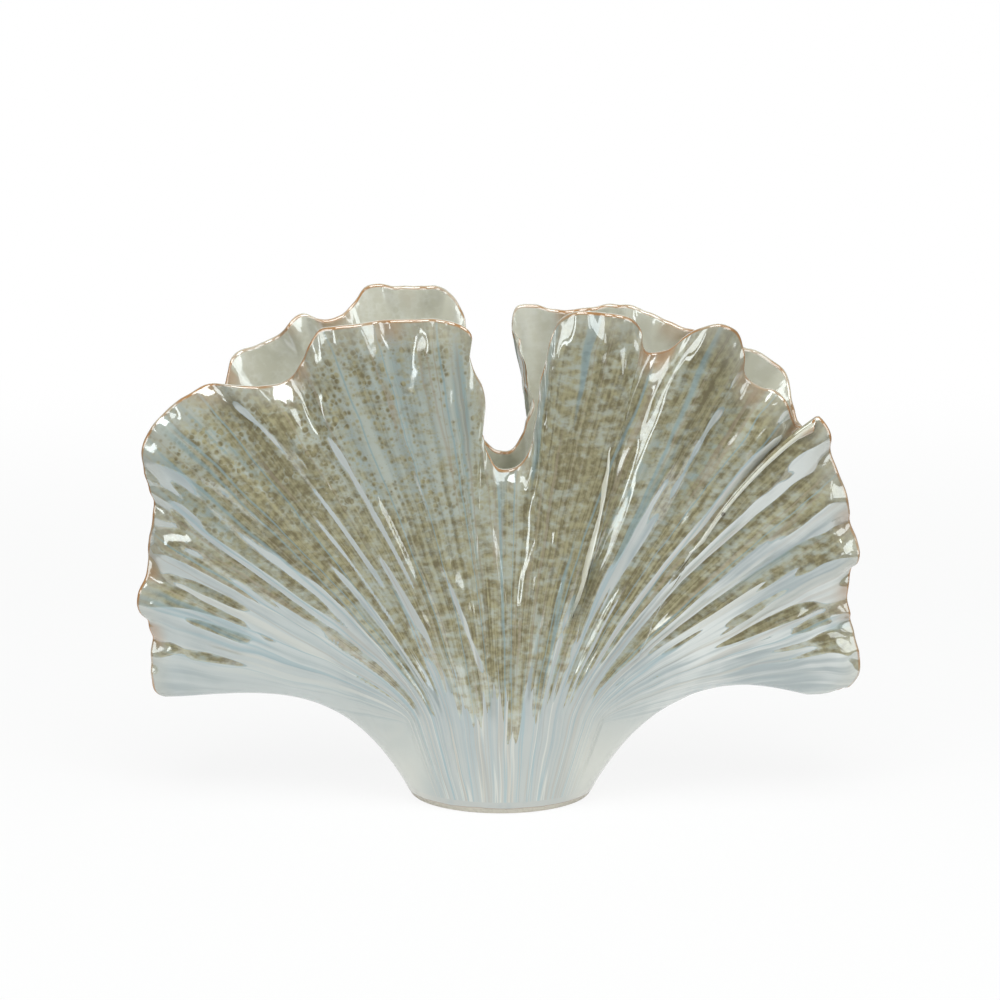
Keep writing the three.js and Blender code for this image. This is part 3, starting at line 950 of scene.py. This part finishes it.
# %% Pale runs and painted table reflection
WINGS = (-0.06, 0.06)
WING_START = (0.03, 0.08)
FOOT_FLANK = (0.022, 0.036)
FLANK_HEIGHTS = (0.05, 0.012)
FLANK_STRENGTH = 0.8
CREAM_RUNS = (15.0, 23.0, 0.6)
BROWN_RUNS = (16.0, 37.0, 0.35)
DRIPS = (30.0, 1.0, 41.0)
SWINGS = (17.0, 0.5, 52.3)
DRIP_SLOPE = 8.0
DRIP_LENGTH = 0.022
DRIP_SWING = 0.07
DRIP_EDGE = (0.0067, 0.0058)
FACING_LIMIT = 0.055
FACING_DROP = 1.7
FACING_FADE = (-0.024, 0.01)


# Pale colours: partly the pale glaze, partly a painted reflection of the white table, with painted
# light at the right.
def pale_coat_and_reflection(on):
    tree = on.tree
    sideways = calc(tree, "ABSOLUTE", on.x)
    # Painted light: the pale is lighter at the right, as if lit more from that side.
    wing = blend(tree, ease(tree, on.x, *WINGS), PALE_LEFT, PALE_RIGHT_LIT)
    light = blend(tree, ease(tree, sideways, *WING_START), PALE_FOOT, wing)
    shade = plus(tree, times(tree, on.streak, 0.5), times(tree, on.cloud, 0.5))
    pale = blend(tree, ease(tree, shade, 0.36, 0.56), PALE_BLUE, light)
    pale = with_lines(on, pale, CREAM_RUNS, PALE_CREAM)
    pale = with_lines(on, pale, BROWN_RUNS, LINE_BROWN)
    flank = ease(tree, sideways, *FOOT_FLANK)
    flank = times(tree, flank, ease(tree, on.height, *FLANK_HEIGHTS))
    return wash(tree, pale, flank, FLANK_STRENGTH, PALE_CREAM)


# Mask for the pale: low down partly the pale glaze and partly a painted reflection of the white table,
# on flanks that look down a painted reflection of the table.
def pale_and_reflection_mask(on):
    tree = on.tree
    drip = away_from(tree, drawn(on, *DRIPS), 0.5)
    tooth = larger(tree, times_plus(tree, drip, -DRIP_SLOPE, 1.0), 0.0)
    ragged = times_plus(tree, calc(tree, "POWER", tooth, 2.0), -DRIP_LENGTH, on.height)
    ragged = times_plus(tree, drawn(on, *SWINGS), -DRIP_SWING, ragged)
    # Flanks that look down past this limit get the painted reflection of the white table.
    limit = times_plus(tree, on.height, -FACING_DROP, FACING_LIMIT)
    clear_of_reflection = ease(tree, minus(tree, on.facing, limit), *FACING_FADE)
    return larger(tree, ease(tree, ragged, *DRIP_EDGE), minus(tree, 1.0, clear_of_reflection))


# %% [markdown]
# ### Lip, lining and pinhole
# The glaze thins to cream at the lip, and that cream is partly a painted sheen of the light on the
# lip.
# It breaks to brown along its two edges and in the folds. The inside is paler, with hardly any olive.
# One small dark pinhole lies at the right. It is only a mark in the colour, because a hole of a
# millimetre would need a far finer grid.

# %% Lip, lining and pinhole
LIP_RISE = (0.93, 1.0)
EDGE_RISE = (0.985, 1.0)
EDGE_LINE = 0.28
EDGE_WIDTH = (0.22, 0.07)
LIP_STRENGTH = 0.5
LINING_SPOTS = 0.25
RECESS_STRENGTH = 0.6
PINHOLE = (0.0865, -0.03, 0.1217)
PINHOLE_REACH = (0.0012, 0.0006)
PINHOLE_STRENGTH = 0.8


def lip_and_lining(on, colour, spot):
    tree = on.tree
    # Cream lip band: thin glaze together with a painted sheen.
    colour = wash(tree, colour, ease(tree, on.rise, *LIP_RISE), LIP_STRENGTH, LIP_CREAM_AND_SHEEN)
    lining = wash(tree, INSIDE_PALE, spot, LINING_SPOTS, LIGHT_OLIVE)
    colour = blend(tree, ease(tree, on.inside, 0.1, 0.5), colour, lining)
    from_edge = away_from(tree, away_from(tree, on.inside, 0.5), EDGE_LINE)
    edge = times(tree, ease(tree, from_edge, *EDGE_WIDTH), ease(tree, on.rise, *EDGE_RISE))
    recess = times(tree, ease(tree, on.fold, -0.0004, -0.002), ease(tree, on.rise, 0.95, 1.0))
    edge = larger(tree, edge, times(tree, recess, RECESS_STRENGTH))
    worn = ease(tree, noise(tree, on.place, 70.0, 2.0), 0.35, 0.6, 0.45, 1.0)
    return wash(tree, colour, edge, worn, RIM_BROWN)


def pinhole(on, colour):
    tree = on.tree
    level = vector(tree, on.x, PINHOLE[1], on.height)
    pit = ease(tree, reach_from(tree, level, PINHOLE), *PINHOLE_REACH)
    pit = times(tree, pit, ease(tree, on.y, 0.0, -0.004))
    return wash(tree, colour, pit, PINHOLE_STRENGTH, PIT_BROWN)


# %% [markdown]
# ### The whole glaze
# The olive coat and the pale runs, which are partly a painted reflection of the white table, meet in a
# thin blue fringe, and a few blue lines cross both. The surface is nearly smooth: its roughness
# wanders a little, and a faint skin lets reflections waver.

# %% Leaf glaze
FRINGE = (0.08, 0.24)
FRINGE_STRENGTH = 0.5
BLUE_LINES = (20.0, 12.0, 0.6)


def leaf_glaze():
    material, tree, shader = new_material("leaf_glaze")
    on = wall_fields(tree)
    spot = olive_spots(on)
    # Pale share: partly the pale glaze, partly a painted reflection of the white table.
    pale_with_reflection = pale_and_reflection_mask(on)
    colour = blend(tree, pale_with_reflection, olive_coat(on, spot), pale_coat_and_reflection(on))
    fringe = times(tree, pale_with_reflection, minus(tree, 1.0, pale_with_reflection))
    fringe = ease(tree, fringe, *FRINGE, 0.0, FRINGE_STRENGTH)
    colour = blend(tree, fringe, colour, LINE_BLUE)
    colour = with_lines(on, colour, BLUE_LINES, LINE_BLUE)
    colour = pinhole(on, lip_and_lining(on, colour, spot))
    tree.links.new(colour, shader.inputs["Base Color"])
    rough = ease(tree, noise(tree, on.place, 90.0, 2.0), 0.3, 0.7, *GLAZE_ROUGHNESS)
    tree.links.new(rough, shader.inputs["Roughness"])
    shader.inputs["IOR"].default_value = GLAZE_IOR
    shader.inputs["Specular Tint"].default_value = GLAZE_TINT
    skin = times_plus(tree, noise(tree, on.place, 110.0, 2.0), 0.25, times(tree, spot, 0.05))
    skin = times_plus(tree, on.hair, ease(tree, on.rise, 0.8, 0.97, 0.12, 0.05), skin)
    tree.links.new(bump(tree, skin, SKIN_DEPTH), shader.inputs["Normal"])
    return material


LEAF_GLAZE = leaf_glaze()
print("glaze nodes:", len(LEAF_GLAZE.node_tree.nodes))

# %% [markdown]
# ## The two walls
# Front and back were pressed in the same way but are not copies. A mirrored copy would be quicker,
# but the two rims differ, and the back gets its own seed so that its ribs wander differently.

# %% Press both walls
FLUTE_TREE = flute_tree(LEAF_GLAZE)
front = wall_grid("leaf_front", FRONT_RIM, -1)
back = wall_grid("leaf_back", BACK_RIM, 1)
press_flutes(front, FLUTE_TREE, Side=-1.0)
press_flutes(back, FLUTE_TREE, Side=1.0, Seed=8.0)
for wall, node in ((front, "front_wall"), (back, "back_wall")):
    smooth_over_keel(wall)
    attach(wall, "root")
    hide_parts(node)

# %% [markdown]
# ## Foot ring
# The foot is a low oval ring. Its lowest two millimetres were wiped clean before firing, so bare
# clay shows there, and the glaze ends above in a soft step. A bevelled curve could give it, but an
# oval swept from a short profile stays exactly on the solid foot. Each loop of the profile is half a
# width, half a depth and a height.

# %% Oval sweep
OVAL_STEPS = 240
SHARP_ANGLE = math.radians(40)


def oval_body(name, loops, hollow):
    turn = np.linspace(0, 2 * math.pi, OVAL_STEPS, endpoint=False)
    points = np.concatenate(
        [np.stack([w * np.cos(turn), d * np.sin(turn), 0 * turn + z], axis=-1) for w, d, z in loops]
    )
    index = np.arange(len(points)).reshape(len(loops), OVAL_STEPS)
    following = np.roll(index, -1, axis=1)
    above = np.roll(index, -1, axis=0)
    after = np.roll(above, -1, axis=1)
    quads = np.stack([index, following, after, above], axis=-1)
    if not hollow:
        quads = quads[:-1]
    faces = quads.reshape(-1, 4).tolist()
    if not hollow:
        faces += [index[0][::-1].tolist(), index[-1].tolist()]
    mesh = bpy.data.meshes.new(name)
    mesh.from_pydata(points + SHIFT, [], faces)
    mesh.polygons.foreach_set("use_smooth", np.array([len(face) == 4 for face in faces]))
    mesh.set_sharp_from_angle(angle=SHARP_ANGLE)
    piece = bpy.data.objects.new(name, mesh)
    bpy.context.scene.collection.objects.link(piece)
    print(name, "faces:", len(faces))
    return piece


# %% Foot ring shape
CLAY_BAND = 0.0021
HOLE_BEVEL = 0.0009
CLAY_EDGE = [(0.0011, 0.0), (0.0006, 0.0002), (0.00035, 0.0007)]
GLAZE_ROLL = [(0.0003, -0.0002), (0.0001, 0.0001), (0.0, 0.0006)]


def ring_loop(inset, z):
    return (GROUND_HALF[0] + SIDE_LEAN * z - inset, GROUND_HALF[1] + FRONT_LEAN * z - inset, z)


def inner_loop(band, z):
    return (BASE_HALF[0] - band, BASE_HALF[1] - band, z)


LEDGE_BAND = WALL + CLEARANCE + FOOT_LEDGE
ring_profile = [inner_loop(LEDGE_BAND - HOLE_BEVEL, 0.0)]
ring_profile += [ring_loop(inset, z) for inset, z in CLAY_EDGE]
ring_profile += [ring_loop(inset, CLAY_BAND + z) for inset, z in GLAZE_ROLL]
ring_profile += [ring_loop(0.0, FOOT_HEIGHT), inner_loop(LEDGE_BAND, FOOT_HEIGHT)]
ring_profile += [inner_loop(LEDGE_BAND, HOLE_BEVEL)]
foot = oval_body("foot_oval", ring_profile, True)

# %% [markdown]
# ## Floor
# Inside, the floor meets the walls in a soft fillet where the glaze pooled. A flat plate would show
# the gap that the solids leave between floor and walls, so a shallow dish with a raised edge closes
# it. Each point of the fillet is a distance from the wall and a height against the floor's top.

# %% Floor dish
FLOOR_TOP = FOOT_HEIGHT + FLOOR_THICKNESS
FLOOR_FILLET = [
    (0.0, -0.0003), (0.0004, 0.0), (0.0016, -0.0007), (0.0035, -0.0011), (0.016, -0.0013),
]

floor_profile = [inner_loop(WALL + CLEARANCE, FOOT_HEIGHT)]
floor_profile += [inner_loop(WALL + CLEARANCE + inset, FLOOR_TOP + z) for inset, z in FLOOR_FILLET]
floor = oval_body("floor_dish", floor_profile, False)

# %% [markdown]
# ## Inner and foot finishes
# The floor carries the same pale glaze as the lining. The foot's glaze ends in a thin brown line that
# wanders a little, and the clay below it is matt and gritty. One material with a height mask gives
# both, so the line can wander freely over the mesh.

# %% Inner and foot finishes
CLAY = (0.56, 0.52, 0.44)
CLAY_DARK = (0.47, 0.42, 0.34)
GLAZE_END = (0.30, 0.19, 0.10)
GLAZE_WANDER = 0.0016
GLAZE_FADE = 0.0002
END_LINE = 0.0006
END_STRENGTH = 0.7
CLAY_ROUGHNESS = 0.78
COAT_ROUGHNESS = 0.1
INNER_IOR = 2.0
INNER_SKIN = 0.0001


def inner_glaze():
    material, tree, shader = new_material("inner_glaze")
    place = object_place(tree)
    cloud = noise(tree, place, 45.0, 3.0)
    colour = blend(tree, ease(tree, cloud, 0.35, 0.7), INSIDE_PALE, CELADON)
    tree.links.new(colour, shader.inputs["Base Color"])
    tree.links.new(ease(tree, cloud, 0.3, 0.7, 0.08, 0.16), shader.inputs["Roughness"])
    shader.inputs["IOR"].default_value = INNER_IOR
    tree.links.new(bump(tree, noise(tree, place, 120.0), INNER_SKIN), shader.inputs["Normal"])
    return material


def foot_finish():
    material, tree, shader = new_material("foot_finish")
    place = object_place(tree)
    x, _, height = split(tree, place)
    wander = minus(tree, noise(tree, place, 70.0), 0.5)
    level = plus(tree, height, times(tree, wander, GLAZE_WANDER))
    glazed = ease(tree, level, CLAY_BAND - GLAZE_FADE, CLAY_BAND + GLAZE_FADE)
    grit = noise(tree, place, 900.0, 3.0)
    clay = blend(tree, ease(tree, grit, 0.45, 0.75), CLAY, CLAY_DARK)
    runs = noise(tree, place, 120.0)
    coat = blend(tree, ease(tree, runs, 0.55, 0.8), PALE_FOOT, PALE_BLUE)
    flank = ease(tree, calc(tree, "ABSOLUTE", x), *FOOT_FLANK)
    coat = wash(tree, coat, flank, FLANK_STRENGTH, PALE_CREAM)
    ending = ease(tree, level, CLAY_BAND + END_LINE, CLAY_BAND + GLAZE_FADE)
    coat = wash(tree, coat, ending, END_STRENGTH, GLAZE_END)
    tree.links.new(blend(tree, glazed, clay, coat), shader.inputs["Base Color"])
    rough = times_plus(tree, glazed, COAT_ROUGHNESS - CLAY_ROUGHNESS, CLAY_ROUGHNESS)
    tree.links.new(rough, shader.inputs["Roughness"])
    shader.inputs["IOR"].default_value = GLAZE_IOR
    relief = times(tree, grit, minus(tree, 1.0, glazed))
    tree.links.new(bump(tree, relief, SKIN_DEPTH), shader.inputs["Normal"])
    return material


floor.data.materials.append(inner_glaze())
foot.data.materials.append(foot_finish())
for piece, node, slot in (
    (floor, "floor_plate", "inner_glaze"),
    (foot, "foot_ring", "foot_clay"),
):
    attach(piece, "root")
    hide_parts(node)
print("finished", floor.name, "and", foot.name)

# %% [markdown]
# ## Table and backdrop
# A glossy glaze is only as good as what it reflects. A white table top runs back into a curved
# backdrop, so the background is white and the lower leaf mirrors white. The table ends a short way
# in front of the vase, and the dim room beyond it lets the upper leaf show its own colours.

# %% White sweep
TABLE_FRONT = -0.235
TABLE_HALF = 0.30
TABLE_SPREAD = 0.145
SWEEP_START = 1.5
SWEEP_RADIUS = 0.5
SWEEP_TOP = 1.8
SWEEP_STEPS = 24
SHADOW_SHARE = 0.12
SHADOW_DEPTHS = (0.25, 0.8)
TABLE_WHITE = (0.86, 0.86, 0.85, 1.0)
TABLE_ROUGHNESS = 0.9


def white_stage():
    material, tree, shader = new_material("white_stage")
    shader.inputs["Base Color"].default_value = TABLE_WHITE
    shader.inputs["Roughness"].default_value = TABLE_ROUGHNESS
    glow = tree.nodes.new("ShaderNodeEmission")
    path = tree.nodes.new("ShaderNodeLightPath").outputs
    seen = larger(tree, path["Is Camera Ray"], path["Is Glossy Ray"])
    seen = larger(tree, seen, path["Is Transmission Ray"])
    depth = split(tree, object_place(tree))[1]
    glow_share = ease(tree, depth, *SHADOW_DEPTHS, 1 - SHADOW_SHARE, 1.0)
    mix = tree.nodes.new("ShaderNodeMixShader")
    tree.links.new(times(tree, seen, glow_share), mix.inputs[0])
    tree.links.new(shader.outputs[0], mix.inputs[1])
    tree.links.new(glow.outputs[0], mix.inputs[2])
    tree.links.new(mix.outputs[0], tree.nodes["Material Output"].inputs[0])
    return material


profile = [(TABLE_FRONT, 0.0)]
for step in range(SWEEP_STEPS + 1):
    turn = math.pi / 2 * step / SWEEP_STEPS
    rise_at = SWEEP_RADIUS * (1 - math.cos(turn))
    profile.append((SWEEP_START + SWEEP_RADIUS * math.sin(turn), rise_at))
profile.append((SWEEP_START + SWEEP_RADIUS, SWEEP_TOP))
corners = [
    (hand * (TABLE_HALF + TABLE_SPREAD * y), y, z) for y, z in profile for hand in (-1, 1)
]
strips = [(2 * i, 2 * i + 1, 2 * i + 3, 2 * i + 2) for i in range(len(profile) - 1)]
sweep_mesh = bpy.data.meshes.new("white_sweep")
sweep_mesh.from_pydata(corners, [], strips)
sweep_mesh.polygons.foreach_set("use_smooth", np.ones(len(strips), dtype=bool))
sweep_mesh.materials.append(white_stage())
sweep = bpy.data.objects.new("white_sweep", sweep_mesh)
bpy.context.scene.collection.objects.link(sweep)
print("sweep strips:", len(strips))

# %% [markdown]
# ## Light
# Large soft boxes give glossy ceramic its long, clean streaks: one overhead for the lips, a card on
# each side for the ribs, and a small low strip on each side for the sharp glints. A picture of a
# studio could light the vase too, but lamps can be sized and moved one by one, and their size and
# distance set the shape of the highlights. The room around is a dim, nearly neutral grey. Each box is
# a place, a size and a power.

# %% Soft boxes and room
SOFT_BOXES = {
    "overhead_box": ((0.0, -0.4, 1.25), (1.05, 0.75), 12.0),
    "left_card": ((-1.0, -0.55, 0.5), (0.67, 0.75), 4.4),
    "right_card": ((1.0, -0.55, 0.5), (0.85, 0.85), 5.6),
    "left_strip": ((-0.72, -1.03, 0.21), (0.17, 0.4), 0.8),
    "right_strip": ((0.72, -1.03, 0.21), (0.17, 0.4), 0.45),
}
AIM = Vector((0.0, 0.0, 0.1))
LAMP_TINT = (0.97, 1.0, 1.0)
ROOM_GREY = (0.18, 0.19, 0.185, 1.0)

for name, (place, size, power) in SOFT_BOXES.items():
    lamp = bpy.data.lights.new(name, "AREA")
    lamp.shape = "RECTANGLE"
    lamp.size, lamp.size_y = size
    lamp.energy = power
    lamp.color = LAMP_TINT
    box = bpy.data.objects.new(name, lamp)
    box.location = place
    box.rotation_euler = (AIM - Vector(place)).to_track_quat("-Z", "Y").to_euler()
    bpy.context.scene.collection.objects.link(box)

room = bpy.data.worlds.new("dim_room")
room.use_nodes = True
room.node_tree.nodes["Background"].inputs["Color"].default_value = ROOM_GREY
bpy.context.scene.world = room
print("soft boxes:", len(SOFT_BOXES))

# %% [markdown]
# ## Camera
# The photo looks slightly down on the vase from the front with a long lens. The distance and the
# angle come from the oval of the foot and the gap between the front and back rims.

# %% Camera
CAMERA_DISTANCE = 1.4
CAMERA_RISE = math.radians(14.0)
CAMERA_AIM = Vector((0.0, 0.0, 0.1205))
FOCAL_PIXELS = 3544
FRAME_PIXELS = 1000

lens = bpy.data.cameras.new("photo_camera")
lens.sensor_fit = "HORIZONTAL"
lens.angle = 2 * math.atan(FRAME_PIXELS / 2 / FOCAL_PIXELS)
camera = bpy.data.objects.new("photo_camera", lens)
sight = Vector((0.0, -math.cos(CAMERA_RISE), math.sin(CAMERA_RISE)))
camera.location = CAMERA_AIM + sight * CAMERA_DISTANCE
camera.rotation_euler = (-sight).to_track_quat("-Z", "Y").to_euler()
bpy.context.scene.collection.objects.link(camera)
bpy.context.scene.camera = camera
bpy.context.scene.view_settings.view_transform = "Standard"
print("camera at", [round(value, 3) for value in camera.location])
